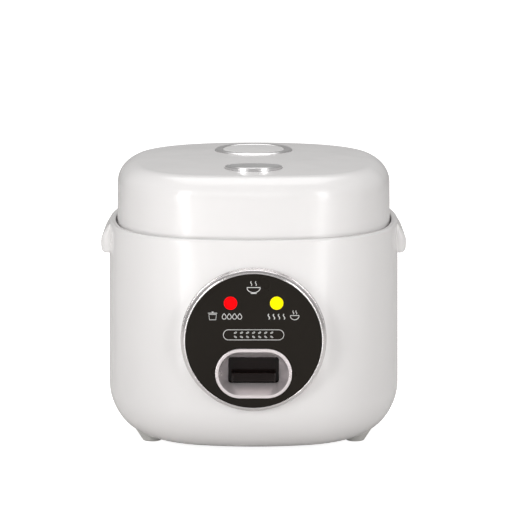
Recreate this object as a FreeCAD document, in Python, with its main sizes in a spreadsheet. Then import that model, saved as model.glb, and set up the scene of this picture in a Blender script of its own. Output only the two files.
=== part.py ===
"""A small electric rice cooker with a hinged lid, as a parametric FreeCAD document.

Millimetres, +Z up, +X to the right and -Y to the front.  The origin is the middle of the
footprint on the surface that the feet stand on.  The body is a rounded square whose sides
bow out a little, so every outline is the same figure drawn at another inset.
"""

import FreeCAD, Part
import Sketcher

import math
import os
import re

V = FreeCAD.Vector
doc = FreeCAD.newDocument("RiceCooker")

# ---------------------------------------------------------------- driving dimensions
DIMENSIONS = {
    # body outline and heights
    "body_half": 107.5, "side_arc": 200, "corner_arc": 76, "base_round": 33,
    "foot_height": 5.5, "rim_z": 160, "body_draft": 0.7, "cavity_half": 104.9,
    "floor_wall": 3, "lip_half": 101, "ledge_half": 98, "ledge_low": 144, "ledge_top": 148,
    "base_half": 66, "foot_x": 74.5, "foot_y": 38, "foot_top": 12.5, "foot_base": 6.6,
    "grip_out": 110.9, "grip_long": 56,
    # rim frame, inner shell and pot
    "shelf_z": 152, "well_rad": 82, "step_rad": 85, "shell_rad": 84, "shell_wall": 0.8,
    "shell_floor": 40, "pot_rad": 80, "pot_wall": 1.5, "pot_floor": 58.2, "pot_rim": 152.1,
    "pot_round": 20,
    # heater and thermostat
    "plate_rad": 66, "plate_top": 58, "plate_thick": 8, "plate_hole": 19,
    "cup_rad": 16, "cup_top": 57.9, "magnet_rad": 9.5, "magnet_top": 50.2,
    "rod_rad": 2, "element_rad": 46, "element_tube": 4,
    # cook lever
    "pivot_y": -45, "pivot_z": 28, "lever_pin": 2, "lip_z": 62.8, "lip_tall": 6.4,
    "lip_wide": 31, "shield_y": -98.6,
    # control panel
    "panel_z": 90.3, "panel_face": -112.3, "disc_rad": 47.4, "bezel_front": 48.4,
    "bezel_back": 51, "bezel_deep": 14, "lamp_x": 16, "lamp_z": 117.3, "lamp_rad": 4.6,
    "switch_z": 67.3, "switch_half": 26.8, "switch_round": 17.7, "window_half": 17.8,
    "window_tall": 18.7, "window_y": -102, "rim_proud": 1.3,
    # lid
    "lid_inset": 7.5, "lid_low": 152.4, "lid_top": 204.5, "lid_crown": 3, "lid_round": 16,
    "lid_draft": 1, "lid_wall": 2.5, "lid_ceiling": 198.6, "recess_rad": 88.2, "liner_top": 160,
    "cap_y": 31, "cap_rad": 28.6, "cap_inner": 23.1, "vent_rad": 20,
    "button_y": -54, "button_long": 40.6, "button_deep": 34,
    "hook_y": -84, "hook_z": 172, "hook_pin": 1.5,
    # hinge
    "hinge_y": 108, "hinge_z": 166.5, "barrel_rad": 5.6, "hinge_pin": 1.8,
    "knuckle_in": 12.4, "knuckle_out": 26,
    # power inlet
    "inlet_z": 58, "inlet_wide": 34, "inlet_tall": 27,
}

dims = doc.addObject("Spreadsheet::Sheet", "Dims")
for row, (alias, number) in enumerate(DIMENSIONS.items(), start=1):
    dims.set(f"A{row}", alias)
    dims.set(f"B{row}", str(number))
    dims.setAlias(f"B{row}", alias)
doc.recompute()

NODES = {}  # label of each sub-part -> the object that holds its shape


# ---------------------------------------------------------------- expression helpers
def bound(text):
    """An expression in which each alias points at the sheet."""
    return re.sub(r"[a-z][a-z_]+", lambda w: "Dims." + w[0] if w[0] in DIMENSIONS else w[0], str(text))


def value(text):
    """The number that an expression has now."""
    return float(dims.evalExpression(bound(text)))


def bind(thing, prop, text):
    """Ties a property to the sheet, and sets it so that it is right before the next recompute."""
    thing.setExpression(prop, bound(text))


def node(label, thing):
    """Names the object that is written as a sub-part."""
    thing.Label = label
    NODES[label] = thing
    return thing


# ---------------------------------------------------------------- PartDesign helpers
def new_body(label):
    return node(label, doc.addObject("PartDesign::Body", label))


def sketch_on(body, plane, at=0, side=0, up=0):
    """An empty sketch parallel to an origin plane: at along its normal, side and up within it.
    The normals are +Z for XY, -Y for XZ and +X for YZ."""
    sketch = body.newObject("Sketcher::SketchObject", body.Name + "_sketch")
    role = plane + "_Plane"
    planes = [f for f in body.Origin.OriginFeatures if f.Role == role]
    sketch.AttachmentSupport = [(planes[0], "")]
    sketch.MapMode = "FlatFace"
    for letter, text in zip("xyz", (side, up, at)):
        bind(sketch, f"AttachmentOffset.Base.{letter}", text)
    return sketch


def pin_point(sketch, geo, pos, across, along):
    """Holds one point of a sketch at two bound coordinates."""
    for kind, axis, text in (("DistanceX", -2, across), ("DistanceY", -1, along)):
        number = value(text)
        if abs(number) < 1e-9:
            sketch.addConstraint(Sketcher.Constraint("PointOnObject", geo, pos, axis))
        else:
            index = sketch.addConstraint(Sketcher.Constraint(kind, -1, 1, geo, pos, number))
            bind(sketch, f"Constraints[{index}]", text)


def polygon(sketch, points):
    """A closed outline of straight lines through bound points."""
    spots = [V(value(a), value(b), 0) for a, b in points]
    first = sketch.GeometryCount
    count = len(points)
    for i in range(count):
        sketch.addGeometry(Part.LineSegment(spots[i], spots[(i + 1) % count]), False)
    for i in range(count):
        after = first + (i + 1) % count
        sketch.addConstraint(Sketcher.Constraint("Coincident", first + i, 2, after, 1))
    for i, (across, along) in enumerate(points):
        pin_point(sketch, first + i, 1, across, along)
    return sketch


def box_outline(sketch, across, along, wide, tall):
    """A rectangle about a bound centre."""
    left, right = f"{across} - ({wide}) / 2", f"{across} + ({wide}) / 2"
    low, high = f"{along} - ({tall}) / 2", f"{along} + ({tall}) / 2"
    return polygon(sketch, [(left, low), (right, low), (right, high), (left, high)])


def circle(sketch, across, along, radius):
    spot = V(value(across), value(along), 0)
    geo = sketch.addGeometry(Part.Circle(spot, V(0, 0, 1), value(radius)), False)
    pin_point(sketch, geo, 3, across, along)
    index = sketch.addConstraint(Sketcher.Constraint("Radius", geo, value(radius)))
    bind(sketch, f"Constraints[{index}]", radius)
    return sketch


def ellipse(sketch, along, long_side, short_side):
    """An ellipse on the sketch's vertical axis, its long side level."""
    middle = V(0, value(along), 0)
    major, minor = value(long_side) / 2, value(short_side) / 2
    shape = Part.Ellipse(middle + V(major, 0, 0), middle + V(0, minor, 0), middle)
    geo = sketch.addGeometry(shape, False)
    sketch.exposeInternalGeometry(geo)
    pin_point(sketch, geo, 3, 0, along)
    sketch.addConstraint(Sketcher.Constraint("Horizontal", geo + 1))
    for line, text in ((geo + 1, long_side), (geo + 2, short_side)):
        index = sketch.addConstraint(Sketcher.Constraint("Distance", line, value(text)))
        bind(sketch, f"Constraints[{index}]", text)
    return sketch


def rounded_square(sketch, inset):
    """The body's outline moved in by inset: four wide side arcs and four tangent corner arcs."""
    side, corner = value(f"side_arc - ({inset})"), value(f"corner_arc - ({inset})")
    back = value("side_arc - body_half")
    # the corner arc's centre (c, c) is side - corner away from the side arc's centre (0, -back)
    c = (-2 * back + math.sqrt(4 * back**2 - 8 * (back**2 - (side - corner) ** 2))) / 4
    lean = math.atan2(c + back, c)
    quarter = math.pi / 2
    up = V(0, 0, 1)
    for turn in range(4):
        spin = FreeCAD.Rotation(up, 90 * turn)
        at_side, at_corner = spin.multVec(V(0, -back, 0)), spin.multVec(V(c, c, 0))
        start = turn * quarter
        side_arc = Part.ArcOfCircle(Part.Circle(at_side, up, side), start + lean, start + math.pi - lean)
        corner_arc = Part.ArcOfCircle(
            Part.Circle(at_corner, up, corner), start + quarter - lean, start + lean
        )
        sketch.addGeometry([corner_arc, side_arc], False)
    for i in range(8):
        sketch.addConstraint(Sketcher.Constraint("Tangent", i, 2, (i + 1) % 8, 1))
    for turn in range(4):
        line, letter = (-2, "Y") if turn % 2 == 0 else (-1, "X")
        sign = (-1, 1, 1, -1)[turn]
        sketch.addConstraint(Sketcher.Constraint("PointOnObject", 2 * turn + 1, 3, line))
        index = sketch.addConstraint(
            Sketcher.Constraint("Distance" + letter, -1, 1, 2 * turn + 1, 3, sign * back)
        )
        bind(sketch, f"Constraints[{index}]", f"{sign} * (side_arc - body_half)")
    for geo, text in ((1, f"side_arc - ({inset})"), (0, f"corner_arc - ({inset})")):
        for other in range(geo + 2, 8, 2):
            sketch.addConstraint(Sketcher.Constraint("Equal", geo, other))
        index = sketch.addConstraint(Sketcher.Constraint("Radius", geo, value(text)))
        bind(sketch, f"Constraints[{index}]", text)
    return sketch


def feature(body, kind, sketch, **settings):
    """Adds a sketch-based feature.  Text settings are bound, others are set."""
    made = body.newObject("PartDesign::" + kind, body.Name + "_" + kind.lower())
    made.Profile = sketch
    for prop, setting in settings.items():
        if isinstance(setting, str) and prop in ("Length", "TaperAngle", "Angle"):
            bind(made, prop, setting)
        else:
            setattr(made, prop, setting)
    sketch.Visibility = False
    return made


def cut(body, kind, sketch, **settings):
    """A Pocket or Groove that has to take material away."""
    doc.recompute()
    before = body.Shape.Volume
    made = feature(body, kind, sketch, **settings)
    doc.recompute()
    if body.Shape.Volume > before - 0.01:
        raise RuntimeError(f"{made.Name} in {body.Label} cuts nothing")
    return made


def pad(body, sketch, length, **settings):
    return feature(body, "Pad", sketch, Length=str(length), **settings)


def pocket(body, sketch, length, upward=False, **settings):
    """Cuts against the sketch's normal, or along it when upward."""
    return cut(body, "Pocket", sketch, Length=str(length), Reversed=upward, **settings)


def revolve(body, points, up=0, axis="V_Axis", plane="XZ", side=0, kind="Revolution"):
    """Turns a bound outline about an axis of its own sketch."""
    sketch = polygon(sketch_on(body, plane, up=up, side=side), points)
    made = feature if kind == "Revolution" else cut
    return made(body, kind, sketch, ReferenceAxis=(sketch, [axis]), Angle="360")


def round_edges(body, radius, chosen, kind="Fillet"):
    """Rounds the edges of the body so far that chosen() picks."""
    doc.recompute()
    base = body.Tip
    names = [f"Edge{i}" for i, e in enumerate(base.Shape.Edges, start=1) if chosen(e)]
    if not names:
        raise RuntimeError(f"no edge to round in {body.Label}")
    made = body.newObject("PartDesign::" + kind, body.Name + "_" + kind.lower())
    made.Base = (base, names)
    bind(made, "Radius" if kind == "Fillet" else "Size", radius)
    doc.recompute()
    return made


def level(edge, z, slack=0.3):
    """Is the whole edge at height z?"""
    box = edge.BoundBox
    return abs(box.ZMin - z) < slack and abs(box.ZMax - z) < slack


def ring_at(edge, radius, slack=0.3):
    """Is the edge a circle of this radius?"""
    curve = edge.Curve
    return isinstance(curve, Part.Circle) and abs(curve.Radius - radius) < slack


# ---------------------------------------------------------------- Part helpers
AXES = {
    "X": FreeCAD.Rotation(V(0, 1, 0), 90),
    "Y": FreeCAD.Rotation(V(1, 0, 0), -90),
    "Z": FreeCAD.Rotation(),
}


def primitive(kind, spot, axis="Z", **sizes):
    """A Part primitive whose sizes and corner or centre are bound."""
    made = doc.addObject("Part::" + kind, kind)
    for prop, text in sizes.items():
        bind(made, prop, text)
    made.Placement = FreeCAD.Placement(V(), AXES[axis])
    for letter, text in zip("xyz", spot):
        bind(made, f"Placement.Base.{letter}", text)
    return made


def rod(radius, length, spot, axis="Z"):
    return primitive("Cylinder", spot, axis, Radius=radius, Height=length)


def block(wide, deep, tall, spot):
    """A box about the middle of its foot."""
    x, y, z = spot
    corner = (f"{x} - ({wide}) / 2", f"{y} - ({deep}) / 2", z)
    return primitive("Box", corner, Length=wide, Width=deep, Height=tall)


def fuse(*things):
    made = doc.addObject("Part::MultiFuse", "Fusion")
    made.Shapes = list(things)
    return made


def less(base, *tools):
    made = doc.addObject("Part::Cut", "Cut")
    made.Base = base
    made.Tool = tools[0] if len(tools) == 1 else fuse(*tools)
    return made


def group(*things):
    made = doc.addObject("Part::Compound", "Group")
    made.Links = list(things)
    return made


def spring(label, radius, wire, tall, turns, spot, axis="Z", steps=16, sides=8):
    """A coil spring: flat-sided sections of the wire, joined by ruled faces along a helix."""
    coil, thick, height = value(radius), value(wire), value(tall)
    pitch = height / (turns * steps)
    sections = []
    for i in range(turns * steps + 1):
        turn = 2 * math.pi * i / steps
        out = V(math.cos(turn), math.sin(turn), 0)
        middle = out * coil + V(0, 0, pitch * i)
        ring = []
        for k in range(sides):
            around = 2 * math.pi * (k + 0.5) / sides
            ring.append(middle + out * (thick * math.cos(around)) + V(0, 0, thick * math.sin(around)))
        sections.append(Part.makePolygon([*ring, ring[0]]))
    made = doc.addObject("Part::Feature", label)
    made.Shape = Part.makeLoft(sections, True, True)
    made.Placement = FreeCAD.Placement(V(*[value(text) for text in spot]), AXES[axis])
    return node(label, made)


def screw(spot, length, head=3, shank=1.4, thick=1.8, up=True):
    """A pan-head screw with its head's seat at spot.  Its shank points up or down."""
    x, y, z = spot
    if up:
        return fuse(rod(head, thick, (x, y, f"{z} - {thick}")), rod(shank, length, spot))
    return fuse(rod(head, thick, spot), rod(shank, length, (x, y, f"{z} - {length}")))


CORNERS = [(sx, sy) for sx in (-1, 1) for sy in (-1, 1)]


# ---------------------------------------------------------------- outer body
def widest(edge):
    """How far out the edge reaches from the vertical axis, along X or Y."""
    box = edge.BoundBox
    return max(box.XMax, box.YMax, -box.XMin, -box.YMin)


def outer_housing():
    """The one-piece casing: bowed walls with a little draft, a big round into the base, an inner
    ledge that carries the rim frame, and a grip on each side."""
    body = doc.addObject("PartDesign::Body", "Casing")
    outline = rounded_square(sketch_on(body, "XY", "foot_height"), 0)
    pad(body, outline, "rim_z - foot_height", TaperAngle="-body_draft")
    round_edges(body, "base_round", lambda e: level(e, value("foot_height")))
    round_edges(body, "2", lambda e: level(e, value("rim_z")))
    grip = [
        ("lip_half + 2", "rim_z - 2.2"), ("lip_half + 4", "rim_z - 2.2"), ("grip_out - 1", "rim_z - 9.5"),
        ("grip_out", "rim_z - 12"), ("grip_out", "rim_z - 20"), ("grip_out - 1.4", "rim_z - 23"),
        ("lip_half + 2", "rim_z - 23.5"),
    ]
    for side in (1, -1):
        points = [(f"{side} * ({across})", along) for across, along in grip]
        pad(body, polygon(sketch_on(body, "XZ"), points), "grip_long", Midplane=True)
    mouth = rounded_square(sketch_on(body, "XY", "rim_z"), "body_half - lip_half")
    pocket(body, mouth, "rim_z - ledge_top")
    ledge = rounded_square(sketch_on(body, "XY", "ledge_top"), "body_half - ledge_half")
    pocket(body, ledge, "ledge_top - ledge_low + 1")
    base = rounded_square(sketch_on(body, "XY", "foot_height"), "body_half - base_half")
    pocket(body, base, "floor_wall + 1", upward=True)
    seat = circle(sketch_on(body, "XZ", "body_half - 16", up="panel_z"), 0, 0, "bezel_back + 0.2")
    pocket(body, seat, "20", upward=True)
    hole = sketch_on(body, "XZ", "8 - body_half", up="inlet_z")
    pocket(body, box_outline(hole, 0, 0, "inlet_wide - 5.6", "inlet_tall - 6.6"), "12")
    recess = sketch_on(body, "XZ", "1.9 - body_half", up="inlet_z")
    pocket(body, box_outline(recess, 0, 0, "inlet_wide + 0.4", "inlet_tall + 0.4"), "6")
    inside = value("lip_half + 0.5")
    round_edges(body, "1.1", lambda e: level(e, value("rim_z")) and widest(e) < inside)
    core = doc.addObject("PartDesign::Body", "Core")
    floor = "foot_height + floor_wall"
    outline = rounded_square(sketch_on(core, "XY", floor), "body_half - cavity_half")
    pad(core, outline, f"ledge_low - ({floor})", TaperAngle="-body_draft")
    round_edges(core, "base_round - floor_wall", lambda e: level(e, value(floor)))
    return node("outer_housing", less(body, core))


def base_cover():
    """The plate under the body, with rows of slots that let cooling air in."""
    body = new_body("base_cover")
    outline = rounded_square(sketch_on(body, "XY", "foot_height"), "body_half - base_half + 0.3")
    pad(body, outline, "2.4")
    openings = sketch_on(body, "XY", "foot_height")
    for step in range(-4, 5):
        for across in (-26, 26):
            box_outline(openings, f"{step} * 7", across, "3", "26")
    for sx, sy in CORNERS:
        circle(openings, f"{sx} * 44", f"{sy} * 44", "1.7")
    pocket(body, openings, "4", upward=True)


def base_posts():
    """Four posts under the shell's floor, and the screws that hold the base cover to them."""
    posts, screws = [], []
    for sx, sy in CORNERS:
        spot = (f"{sx} * 44", f"{sy} * 44")
        post = rod("4", "shell_floor - foot_height - 2.5", (*spot, "foot_height + 2.45"))
        posts.append(less(post, rod("1.45", "11", (*spot, "foot_height + 2"))))
        screws.append(screw((*spot, "foot_height"), "10"))
    node("base_posts", group(*posts))
    node("base_screws", group(*screws))


def feet():
    """Four tapered feet whose tops follow the rounded underside of the casing."""
    space = doc.addObject("PartDesign::Body", "Underside")
    pad(space, rounded_square(sketch_on(space, "XY", "foot_height"), 0), "60")
    round_edges(space, "base_round + 0.02", lambda e: level(e, value("foot_height")))
    for sx, sy in CORNERS:
        spot = (f"{sx} * foot_x", f"{sy} * foot_y", "0")
        cone = primitive("Cone", spot, Radius1="foot_base", Radius2="foot_top", Height="foot_height + 4")
        name = ("rear" if sy > 0 else "front") + ("_right" if sx > 0 else "_left")
        node("foot_" + name, less(cone, space))


# ---------------------------------------------------------------- rim, shell, pot
def rim_frame():
    """The shelf round the pot well.  The lid closes on it, and its front slot takes the hook."""
    body = new_body("rim_frame")
    outline = rounded_square(sketch_on(body, "XY", "ledge_top + 0.05"), "body_half - lip_half + 0.2")
    pad(body, outline, "shelf_z - ledge_top - 0.05")
    pocket(body, circle(sketch_on(body, "XY", "shelf_z"), 0, 0, "well_rad"), "10")
    pocket(body, circle(sketch_on(body, "XY", "shelf_z"), 0, 0, "step_rad"), "1.5")
    slot = sketch_on(body, "XY", "shelf_z")
    pocket(body, box_outline(slot, 0, -94.25, "20", "7.9"), "10")


def inner_shell():
    """The thin metal well round the pot: wall, floor with a hole for the thermostat, top flange."""
    body = new_body("inner_shell")
    revolve(body, [
        ("26", "shell_floor"), ("shell_rad", "shell_floor"), ("shell_rad", "ledge_top - 1"),
        ("shell_rad + 4", "ledge_top - 1"), ("shell_rad + 4", "ledge_top - 0.1"),
        ("shell_rad - shell_wall", "ledge_top - 0.1"),
        ("shell_rad - shell_wall", "shell_floor + shell_wall"), ("26", "shell_floor + shell_wall"),
    ])
    doc.recompute()
    holes = sketch_on(body, "XY", "shell_floor - 1")
    for turn in (90, 210, 330):
        circle(holes, f"58 * cos({turn} deg)", f"58 * sin({turn} deg)", "1.7")
    pocket(body, holes, "3", upward=True)


def inner_pot():
    """The lift-out cooking pot: drawn aluminium with a flat flange."""
    body = new_body("inner_pot")
    revolve(body, [
        ("0", "pot_floor"), ("pot_rad", "pot_floor"), ("pot_rad", "pot_rim - 1.4"),
        ("pot_rad + 4.6", "pot_rim - 1.4"), ("pot_rad + 4.6", "pot_rim"), ("pot_rad - pot_wall", "pot_rim"),
        ("pot_rad - pot_wall", "pot_floor + pot_wall"), ("0", "pot_floor + pot_wall"),
    ])
    outer, inner = value("pot_rad"), value("pot_rad - pot_wall")
    low, floor = value("pot_floor"), value("pot_floor + pot_wall")
    round_edges(body, "pot_round", lambda e: ring_at(e, outer) and level(e, low))
    round_edges(body, "pot_round - pot_wall", lambda e: ring_at(e, inner) and level(e, floor))
    round_edges(body, "1.2", lambda e: ring_at(e, inner) and level(e, value("pot_rim")))


# ---------------------------------------------------------------- heater and thermostat
def heating_plate():
    """The cast plate under the pot, with a groove for its element and three legs with screws."""
    body = new_body("heating_plate")
    low = "plate_top - plate_thick"
    revolve(body, [
        ("plate_hole", low), ("plate_rad - 3", low), ("plate_rad", f"{low} + 3"),
        ("plate_rad", "plate_top - 1.5"), ("plate_rad - 1.5", "plate_top"), ("plate_hole", "plate_top"),
    ])
    outside, inside = "element_rad + element_tube + 0.3", "element_rad - element_tube - 0.3"
    crest = f"{low} + element_tube - 0.9"
    revolve(body, [(inside, low), (outside, low), (outside, crest), (inside, crest)], kind="Groove")
    legs = sketch_on(body, "XY", "shell_floor + shell_wall + 0.05")
    bores = sketch_on(body, "XY", "shell_floor + shell_wall")
    screws = []
    for turn in (90, 210, 330):
        spot = (f"58 * cos({turn} deg)", f"58 * sin({turn} deg)")
        circle(legs, *spot, "4.5")
        circle(bores, *spot, "1.45")
        screws.append(screw((*spot, "shell_floor"), "7"))
    pad(body, legs, "plate_top - plate_thick - shell_floor - shell_wall + 1")
    pocket(body, bores, "8", upward=True)
    node("plate_screws", group(*screws))


def heating_element():
    """The sheathed heating tube: most of a turn, with a cold end that points down at each side."""
    middle = "plate_top - plate_thick - 1.1"
    ring = primitive("Torus", ("0", "0", middle), Radius1="element_rad", Radius2="element_tube")
    gap = block("26", "22", "10", ("0", "element_rad", "plate_top - plate_thick - 6"))
    start = "plate_top - plate_thick - 8.9"
    ends = [rod("1.6", "8.5", (f"{side} * 15.6", "element_rad - 2.3", start)) for side in (-1, 1)]
    node("heating_element", fuse(less(ring, gap), *ends))


def thermostat():
    """The sprung sensor cup that presses on the pot, and the magnet inside that holds the lever."""
    cup = new_body("sensor_cup")
    revolve(cup, [
        ("0", "cup_top"), ("cup_rad", "cup_top"), ("cup_rad", "cup_top - 12"),
        ("cup_rad + 1.6", "cup_top - 12"), ("cup_rad + 1.6", "cup_top - 13"),
        ("cup_rad - 1", "cup_top - 13"),
        ("cup_rad - 1", "cup_top - 1.2"), ("0", "cup_top - 1.2"),
    ])
    edge, crest = value("cup_rad"), value("cup_top")
    round_edges(cup, "0.8", lambda e: ring_at(e, edge) and level(e, crest))
    ferrite = ("0", "0", "magnet_top + 0.75")
    node("ferrite_disc", rod("magnet_rad", "cup_top - 2 - magnet_top", ferrite))
    magnet = new_body("magnet_plunger")
    revolve(magnet, [
        ("0", "magnet_top"), ("magnet_rad", "magnet_top"), ("magnet_rad", "magnet_top - 4"),
        ("magnet_rad + 4", "magnet_top - 4"), ("magnet_rad + 4", "magnet_top - 5"),
        ("rod_rad", "magnet_top - 5"),
        ("rod_rad", "pivot_z + 2.9"), ("rod_rad + 1.8", "pivot_z + 2.9"),
        ("rod_rad + 1.8", "pivot_z + 1.4"),
        ("rod_rad", "pivot_z + 1.4"), ("rod_rad", "pivot_z - 5"), ("0", "pivot_z - 5"),
    ])
    bracket = new_body("thermostat_bracket")
    revolve(bracket, [
        ("rod_rad + 0.4", "shell_floor - 6.2"), ("21", "shell_floor - 6.2"), ("21", "shell_floor - 1"),
        ("32", "shell_floor - 1"), ("32", "shell_floor - 0.05"), ("20", "shell_floor - 0.05"),
        ("20", "shell_floor - 5.2"), ("rod_rad + 0.4", "shell_floor - 5.2"),
    ])
    floor = "shell_floor - 5.2"
    spring("sensor_spring", "cup_rad + 0.6", "0.5", "cup_top - 14.2 - shell_floor + 5.2", 5,
        ("0", "0", f"{floor} + 0.6"))
    spring("magnet_spring", "magnet_rad + 2.2", "0.35", "cup_top - 2.1 - magnet_top + 4", 5,
        ("0", "0", "magnet_top - 3.5"))


# ---------------------------------------------------------------- cook lever
def cook_lever():
    """The rocking lever: a finger lip in the window, a shield behind it, an arm over the pivot,
    and a forked tail that lifts the magnet."""
    body = new_body("cook_lever")
    arm = [
        ("6", "pivot_z - 3.2"), ("6", "pivot_z - 0.6"), ("pivot_y + 6", "pivot_z + 3.6"),
        ("-86", "pivot_z + 3.6"),
        ("shield_y + 2.2", "lip_z - 16"), ("shield_y + 2.2", "lip_z + 17"), ("shield_y", "lip_z + 17"),
        ("shield_y", "lip_z - 16"), ("-90", "pivot_z - 1"), ("pivot_y", "pivot_z - 4"),
    ]
    pad(body, polygon(sketch_on(body, "YZ"), arm), "9", Midplane=True)
    shield = sketch_on(body, "XZ", "-shield_y - 2.2")
    pad(body, box_outline(shield, 0, "lip_z + 5", "2 * window_half + 4", "26"), "2.2")
    lip = sketch_on(body, "XZ", "-shield_y - 1")
    pad(body, box_outline(lip, 0, "lip_z", "lip_wide", "lip_tall"), "8")
    front = value("shield_y - 6.8")
    round_edges(body, "1.6", lambda e: e.BoundBox.YMax < front)
    bore = circle(sketch_on(body, "YZ", "10"), "pivot_y", "pivot_z", "lever_pin + 0.06")
    pocket(body, bore, "20")
    fork = sketch_on(body, "XY", "pivot_z + 10")
    pocket(body, box_outline(fork, 0, "2", "2 * rod_rad + 1.2", "2 * rod_rad + 8"), "30")


def lever_mount():
    """The stirrup under the shell's floor, and the pin that the lever rocks on."""
    low, tall = "pivot_z - 4.05", "shell_floor - pivot_z + 4"
    plates = [block("1.6", "14", tall, (f"{side} * 6.4", "pivot_y", low)) for side in (-1, 1)]
    top = block("24", "14", "1.2", ("0", "pivot_y", "shell_floor - 1.25"))
    hole = rod("lever_pin + 0.02", "20", ("-10", "pivot_y", "pivot_z"), "X")
    node("lever_stirrup", less(fuse(*plates, top), hole))
    node("lever_pin", rod("lever_pin", "16.4", ("-8.2", "pivot_y", "pivot_z"), "X"))


def electrics():
    """Changeover switch, thermal fuse, terminal block and warming band, held by the inner shell."""
    case = block("14", "22", "9", ("24", "-46", "shell_floor - 9.05"))
    button = rod("1.6", "2", ("22", "-50", "shell_floor - 11"))
    node("changeover_switch", fuse(case, button))
    leads = rod("0.5", "34", ("-17", "46", "shell_floor - 2.1"), "X")
    node("thermal_fuse", fuse(rod("2", "14", ("-7", "46", "shell_floor - 2.1"), "X"), leads))
    bores = [rod("2", "20", (x, "60", "shell_floor - 6"), "Y") for x in ("-9", "0", "9")]
    node("terminal_block", less(block("30", "12", "12", ("0", "71", "shell_floor - 12.05")), *bores))
    band = new_body("warming_heater")
    revolve(band, [
        ("shell_rad + 0.1", "84"), ("shell_rad + 1.3", "84"), ("shell_rad + 1.3", "120"),
        ("shell_rad + 0.1", "120"),
    ])


# ---------------------------------------------------------------- control panel
def panel():
    """The round control panel: plated bezel, dark disc, lenses, carrier and lamp board."""
    bezel = new_body("panel_bezel")
    back = "panel_face + bezel_deep"
    revolve(bezel, [
        ("panel_face - 0.3", "disc_rad + 0.1"), ("panel_face - 0.3", "bezel_front"),
        ("panel_face + 5.6", "bezel_back"), (back, "bezel_back"), (back, "disc_rad - 2"),
        ("panel_face + 2.6", "disc_rad - 2"), ("panel_face + 2.6", "disc_rad + 0.1"),
    ], up="panel_z", axis="H_Axis", plane="YZ")
    disc = new_body("panel_disc")
    face = sketch_on(disc, "XZ", "-panel_face - 2.5", up="panel_z")
    pad(disc, circle(face, 0, 0, "disc_rad"), "2.5")
    switch_hole(disc, "-panel_face - 4")
    lamp_circles(disc, "-panel_face - 4", "lamp_rad + 0.1", "5")

    carrier = new_body("panel_carrier")
    plate = sketch_on(carrier, "XZ", "-panel_face - 5", up="panel_z")
    pad(carrier, circle(plate, 0, 0, "disc_rad - 2.3"), "2.4")
    tubes = sketch_on(carrier, "XZ", "-panel_face - 14")
    for side in (-1, 1):
        circle(tubes, f"{side} * lamp_x", "lamp_z", "lamp_rad + 1.6")
    pad(carrier, tubes, "10")
    switch_hole(carrier, "-panel_face - 6")
    lamp_circles(carrier, "-panel_face - 16", "lamp_rad + 0.1", "20")

    bulbs = []
    for side, name in ((-1, "cook"), (1, "warm")):
        lens = new_body(name + "_lens")
        revolve(lens, [
            ("panel_face - 0.5", 0), ("panel_face - 0.5", "lamp_rad - 0.8"), ("panel_face", "lamp_rad"),
            ("panel_face + 7", "lamp_rad"), ("panel_face + 7", "lamp_rad - 1"),
            ("panel_face + 1.5", "lamp_rad - 1"), ("panel_face + 1.5", 0),
        ], up="lamp_z", axis="H_Axis", plane="YZ")
        bind(lens, "Placement.Base.x", f"{side} * lamp_x")
        bulbs.append(rod("2.4", "9.2", (f"{side} * lamp_x", "panel_face + 5", "lamp_z"), "Y"))
    board = block("48", "1.5", "14", ("0", "panel_face + 14.85", "lamp_z - 7"))
    node("lamp_board", fuse(board, *bulbs))


def switch_hole(body, at):
    """The slot that the switch surround goes through, 8 mm long towards the front."""
    outline = stadium(sketch_on(body, "XZ", at, up="switch_z"), "switch_half - 1.2", "switch_round - 1.2")
    pocket(body, outline, "8", upward=True)


def lamp_circles(body, at, radius, length):
    outline = sketch_on(body, "XZ", at)
    for side in (-1, 1):
        circle(outline, f"{side} * lamp_x", "lamp_z", radius)
    pocket(body, outline, length, upward=True)


def stadium(sketch, half, rounding):
    """A slot shape: a rounded rectangle whose short sides almost vanish."""
    return rounded_box(sketch, half, rounding, f"{rounding} - 0.1")


def rounded_box(sketch, half_wide, half_tall, corner):
    """A rectangle with corner arcs about the sketch's origin: four lines and four tangent arcs."""
    wide, tall, turn = value(half_wide), value(half_tall), value(corner)
    quarter = math.pi / 2
    places = [(1, 1), (-1, 1), (-1, -1), (1, -1)]
    spots = [V(sx * (wide - turn), sy * (tall - turn), 0) for sx, sy in places]
    for i, spot in enumerate(spots):
        start = i * quarter
        sketch.addGeometry(Part.ArcOfCircle(Part.Circle(spot, V(0, 0, 1), turn), start,
            start + quarter), False)
        out = V(math.cos(start + quarter), math.sin(start + quarter), 0) * turn
        sketch.addGeometry(Part.LineSegment(spot + out, spots[(i + 1) % 4] + out), False)
    for i in range(8):
        sketch.addConstraint(Sketcher.Constraint("Tangent", i, 2, (i + 1) % 8, 1))
    for geo, name in ((1, "Horizontal"), (3, "Vertical"), (5, "Horizontal"), (7, "Vertical")):
        sketch.addConstraint(Sketcher.Constraint(name, geo))
    for geo in (2, 4, 6):
        sketch.addConstraint(Sketcher.Constraint("Equal", 0, geo))
    index = sketch.addConstraint(Sketcher.Constraint("Radius", 0, turn))
    bind(sketch, f"Constraints[{index}]", corner)
    pin_point(sketch, 0, 3, f"{half_wide} - ({corner})", f"{half_tall} - ({corner})")
    pin_point(sketch, 4, 3, f"({corner}) - ({half_wide})", f"({corner}) - ({half_tall})")
    return sketch


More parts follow.
